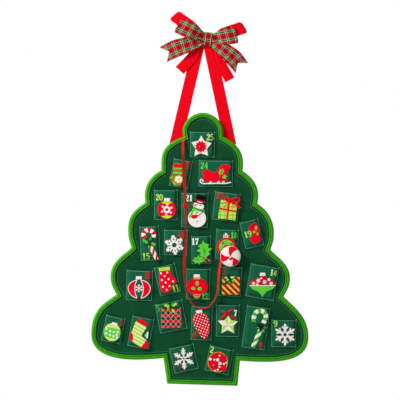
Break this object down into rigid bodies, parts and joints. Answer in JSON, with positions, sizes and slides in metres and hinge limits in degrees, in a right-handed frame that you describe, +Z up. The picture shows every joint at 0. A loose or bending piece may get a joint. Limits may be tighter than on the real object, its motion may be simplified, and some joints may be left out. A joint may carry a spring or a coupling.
{
  "type": "advent calendar",
  "caption": "Felt Christmas tree advent calendar with numbered pockets, felt motifs, a stuffed candy marker on a ribbon, and a bow on a hanging ribbon.",
  "frame": {"origin": "the crotch of the hanging ribbon, where the nail or hook bears", "axes": "+Z up, the front faces -Y, +X to the right as seen from the front"},
  "size_m": [0.4605, 0.0274, 0.7946],
  "materials": {
    "panel_felt": "matte wool-like felt",
    "wadding": "soft matte polyester wadding",
    "pocket_felt": "matte felt",
    "binding": "satin woven cotton binding",
    "red_ribbon": "ribbed grosgrain ribbon",
    "plaid_ribbon": "woven plaid ribbon, red, green, white and gold",
    "satin_ribbon": "glossy satin ribbon",
    "white_felt": "matte felt with white prints",
    "red_felt": "matte felt",
    "green_felt": "matte felt",
    "lime_felt": "matte felt",
    "candy_felt": "soft felt, stuffed"
  },
  "bodies": {
    "calendar": {"back_panel": "panel_felt", "wadding": "wadding", "front_panel": "panel_felt", "edge_binding": "binding", "hanger_ribbon": "red_ribbon", "bow_plain_ribbon": "red_ribbon", "bow_plaid_ribbon": "plaid_ribbon", "bow_band": "plaid_ribbon", "marker_ribbon": "satin_ribbon", "pocket_01": "pocket_felt", "motif_01_snowflake": "white_felt", "pocket_02": "pocket_felt", "motif_02_bauble": "red_felt", "pocket_03": "pocket_felt", "motif_03_bauble": "lime_felt", "pocket_04": "pocket_felt", "motif_04_stocking": "lime_felt", "pocket_05": "pocket_felt", "motif_05_gift": "red_felt", "pocket_06": "pocket_felt", "motif_06_long_bauble": "red_felt", "pocket_07": "pocket_felt", "motif_07_star": "lime_felt", "pocket_08": "pocket_felt", "motif_08_candy_cane": "green_felt", "pocket_09": "pocket_felt", "motif_09_snowflake": "white_felt", "pocket_10": "pocket_felt", "motif_10_bauble": "red_felt", "pocket_11": "pocket_felt", "motif_11_mitten": "red_felt", "pocket_12": "pocket_felt", "motif_12_bauble": "red_felt", "pocket_13": "pocket_felt", "motif_13_gift": "red_felt", "pocket_14": "pocket_felt", "motif_14_onion_bauble": "green_felt", "pocket_15": "pocket_felt", "motif_15_candy_cane": "red_felt", "pocket_16": "pocket_felt", "motif_16_snowflake": "white_felt", "pocket_17": "pocket_felt", "motif_17_holly": "green_felt", "pocket_18": "pocket_felt", "motif_18_bauble": "red_felt", "pocket_19": "pocket_felt", "motif_19_stocking": "red_felt", "pocket_20": "pocket_felt", "motif_20_bauble": "red_felt", "pocket_21": "pocket_felt", "motif_21_snowman": "white_felt", "pocket_22": "pocket_felt", "motif_22_gift": "green_felt", "pocket_23": "pocket_felt", "motif_23_mitten": "red_felt", "pocket_24": "pocket_felt", "motif_24_sleigh": "red_felt", "pocket_25": "pocket_felt", "motif_25_star": "white_felt"},
    "marker": {"marker_candy": "candy_felt"}
  },
  "joints": [
    {"name": "marker_lift", "type": "slide", "parent": "calendar", "child": "marker", "axis": [0, -0.2216, 0.9751], "range_m": [0, 0.045]}
  ]
}
